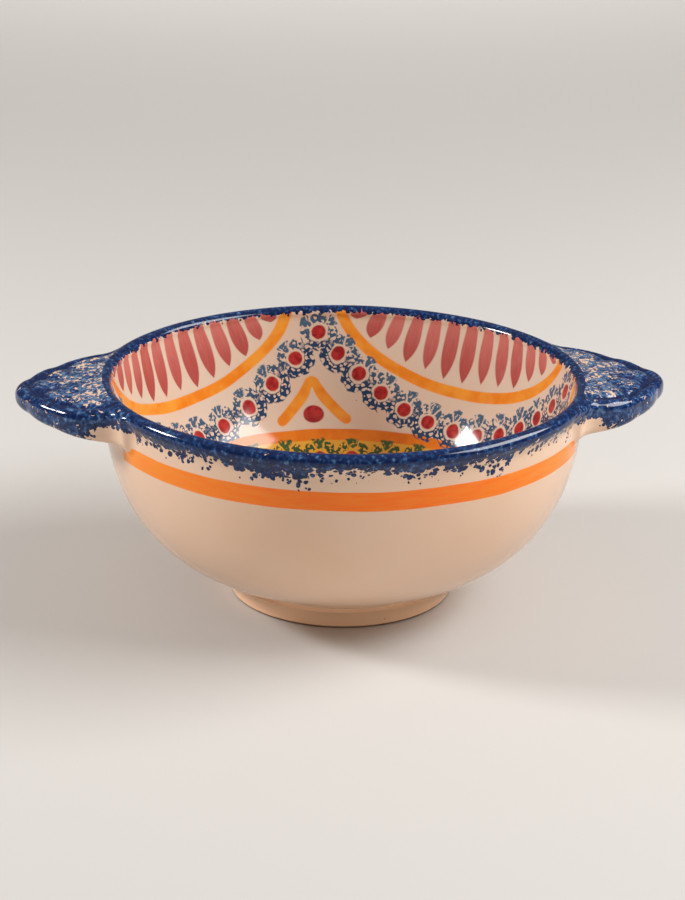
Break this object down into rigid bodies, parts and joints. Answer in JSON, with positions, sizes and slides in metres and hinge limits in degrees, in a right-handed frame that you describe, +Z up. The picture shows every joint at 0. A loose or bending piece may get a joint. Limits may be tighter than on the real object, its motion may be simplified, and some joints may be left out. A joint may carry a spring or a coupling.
{
  "type": "lugged cereal bowl",
  "caption": "Round glazed earthenware bowl on a foot ring, with a rolled lip and two flat scalloped lugs at the rim for lifting it.",
  "frame": {"origin": "centre of the foot ring on the surface that the bowl stands on", "axes": "+Z up along the bowl's axis, +X through the middle of the right lug"},
  "size_m": [0.179, 0.135, 0.0626],
  "materials": {
    "buff_glaze": "glossy clear glaze over buff earthenware, hand painted",
    "cobalt_sponge": "glossy glaze over sponged cobalt blue"
  },
  "bodies": {
    "root": {"bowl_body": "buff_glaze", "foot_ring": "buff_glaze", "left_lug": "cobalt_sponge", "right_lug": "cobalt_sponge"}
  },
  "joints": []
}
